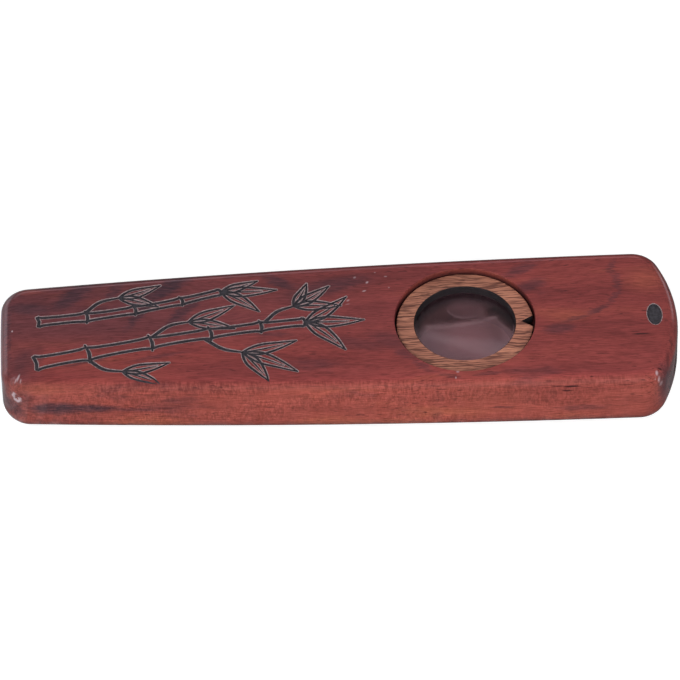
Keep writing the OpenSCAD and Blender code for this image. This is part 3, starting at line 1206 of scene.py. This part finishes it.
# Patches of the room: turn from behind to the right and elevation, half sizes and softness,
# all in degrees, then the rise of the patch per degree of turn, and its colour
ROOM_PATCHES = [
    ((0, 6), (32, 18), (8, 6), 0, rgb(0.02, 0.02, 0.022)),
    ((-14, 44.5), (4, 3), (1, 1), 0, rgb(0.3, 0.3, 0.3)),
    ((-45, 5), (25, 19), (8, 5), 0, rgb(0.95, 0.9, 1)),
    ((40, 4), (9, 12), (4, 6), 0, rgb(1.0, 0.95, 1.05)),
    ((-122, 46), (9, 9), (5, 5), 0, rgb(1.9, 1.9, 2)),
    ((3.65, 41.1), (6.55, 8), (0.4, 0.2), -0.186, rgb(0.80, 0.51, 0.565)),
    ((3.65, 48.75), (6.55, 0.4), (0.4, 0.12), -0.186, rgb(1.45, 0.98, 1.07)),
    ((-4.4, 44.35), (1.7, 9), (0.3, 0.3), 1.65, rgb(1.42, 0.86, 0.96)),
    ((-2, 34), (12.4, 10), (0.9, 1.1), 0.2, rgb(1.36, 1.01, 1.12)),
    ((5, 34.8), (5.6, 6), (1.6, 0.8), 0.41, rgb(0.95, 0.66, 0.75)),
]
# Round patches over those: turn and elevation, half sizes, and colour
ROOM_ROUNDS = [
    ((3.4, 51.3), (3.4, 1.95), rgb(0.98, 0.70, 0.76)),
    ((3.4, 51.75), (3.35, 1.95), rgb(0.40, 0.29, 0.32)),
]
# The cloth glows more past the narrow end
CLOTH_Z = -0.03
CLOTH_TONE = rgb(0.95, 0.95, 1)
CLOTH_GLOW = 0.12
CLOTH_GLOW_LEFT = 0.42
CEILING_R = 1300
CEILING_Y = -900
CEILING_Z = 1500
CEILING_GLOW = 1.3
# All that the film mirrors passes through a hole in the card, which an ellipsoid cuts
CARD_LOW = (-68, 10)
CARD_HIGH = (70, 52)
CARD_Z = 45
CARD_HOLE = (24.1, 34.5, CARD_Z)
CARD_HOLE_SIZE = (4.9, 2.9, 9)


def make_room():
    """A dim room, cloth and card that only varnish and film mirror, and a ceiling that only
    shines through the film. They light and shade nothing else."""
    columns, rows = 48, 16
    points = []
    faces = []
    for row in range(rows + 1):
        elevation = math.pi / 2 * row / rows
        points += circle(ROOM_R * math.cos(elevation), ROOM_R * math.sin(elevation), steps=columns)
    for row in range(rows):
        for column in range(columns):
            after = (column + 1) % columns
            faces.append((row * columns + column, row * columns + after,
                          (row + 1) * columns + after, (row + 1) * columns + column))
    dome = make_mesh("room", points, faces)
    n = Nodes("dim_room")
    x, y, z = n.parts(n.vector("NORMALIZE", n.at))
    turn = n.math("DEGREES", n.math("ARCTAN2", x, y))
    elevation = n.math("DEGREES", n.math("ARCSINE", z))
    glow = ROOM_TONE
    for middle, half, soft, rise, tone in ROOM_PATCHES:
        above = n.minus(elevation, n.times(turn, rise))
        across, along = [n.fade(n.apart(value, m), h + s, h - s)
                         for value, m, h, s in zip((turn, above), middle, half, soft)]
        glow = n.mix(n.times(across, along), glow, tone)
    sky = n.add("ShaderNodeCombineXYZ", {0: turn, 1: elevation}).outputs[0]
    for middle, half, tone in ROOM_ROUNDS:
        glow = n.mix(n.spot(sky, (*middle, 0), (*half, 1), 0, 1.05, 0.95), glow, tone)
    cloudy = n.noise(n.scaled(n.at, (1.4, 1.4, 5)), 1, 2)
    strength = n.fade(cloudy, 0.3, 0.7, 0.85, 1.15)
    dome.data.materials.append(n.finish(n.emission(glow, strength)))

    cloth = make_mesh("cloth", circle(ROOM_R, CLOTH_Z, steps=columns), [tuple(range(columns))])
    n = Nodes("dim_cloth")
    glow = n.fade(n.parts(n.mm)[0], -40, -70, CLOTH_GLOW, CLOTH_GLOW_LEFT)
    streaky = n.noise(n.scaled(n.mm, (0.5, 0.05, 0)), 1, 3)
    glow = n.times(glow, n.fade(streaky, 0.35, 0.65, 0.5, 1.5))
    cloth.data.materials.append(n.finish(n.emission(CLOTH_TONE, glow)))

    ceiling = make_mesh("ceiling", circle(CEILING_R, CEILING_Z, 0, CEILING_Y, columns),
                        [tuple(range(columns))])
    n = Nodes("bright_ceiling")
    ceiling.data.materials.append(n.finish(n.emission(rgb(1, 1, 1), CEILING_GLOW)))
    ceiling.visible_glossy = False

    # The flat top mirrors this plain card, which hides the patches that the film mirrors
    left, front = CARD_LOW
    right, back = CARD_HIGH
    corners = [(left, front), (right, front), (right, back), (left, back)]
    card = make_mesh("card", [(x, y, CARD_Z) for x, y in corners], [(0, 1, 2, 3)])
    n = Nodes("dim_card")
    hole = n.spot(n.mm, CARD_HOLE, CARD_HOLE_SIZE, 0, 1.02, 0.98)
    clear = n.add("ShaderNodeBsdfTransparent")
    card.data.materials.append(n.finish(n.add("ShaderNodeMixShader", {
        0: hole, 1: n.emission(ROOM_TONE).outputs[0], 2: clear.outputs[0]})))
    card.visible_transmission = False

    for piece in (dome, cloth, ceiling, card):
        piece.visible_camera = False
        piece.visible_diffuse = False
        piece.visible_shadow = False


WORLD_LIGHT = 0.36


def make_world():
    world = bpy.data.worlds.new("studio")
    bpy.context.scene.world = world
    world.use_nodes = True
    tree = world.node_tree
    background = tree.nodes["Background"]
    background.inputs["Color"].default_value = rgb(1, 1, 1)
    tree.links.new(seen_range(tree, WORLD_LIGHT, 1), background.inputs["Strength"])


make_camera()
make_world()
make_floor()
make_room()
lamp("key", azimuth=-58, elevation=46, distance=0.7, size=0.15, power=0.95)
lamp("front", azimuth=10, elevation=33, distance=1.2, size=0.8, power=9, mirrored=False)
make_shells()
make_ring()
make_film()
bpy.context.scene.view_settings.view_transform = "Standard"
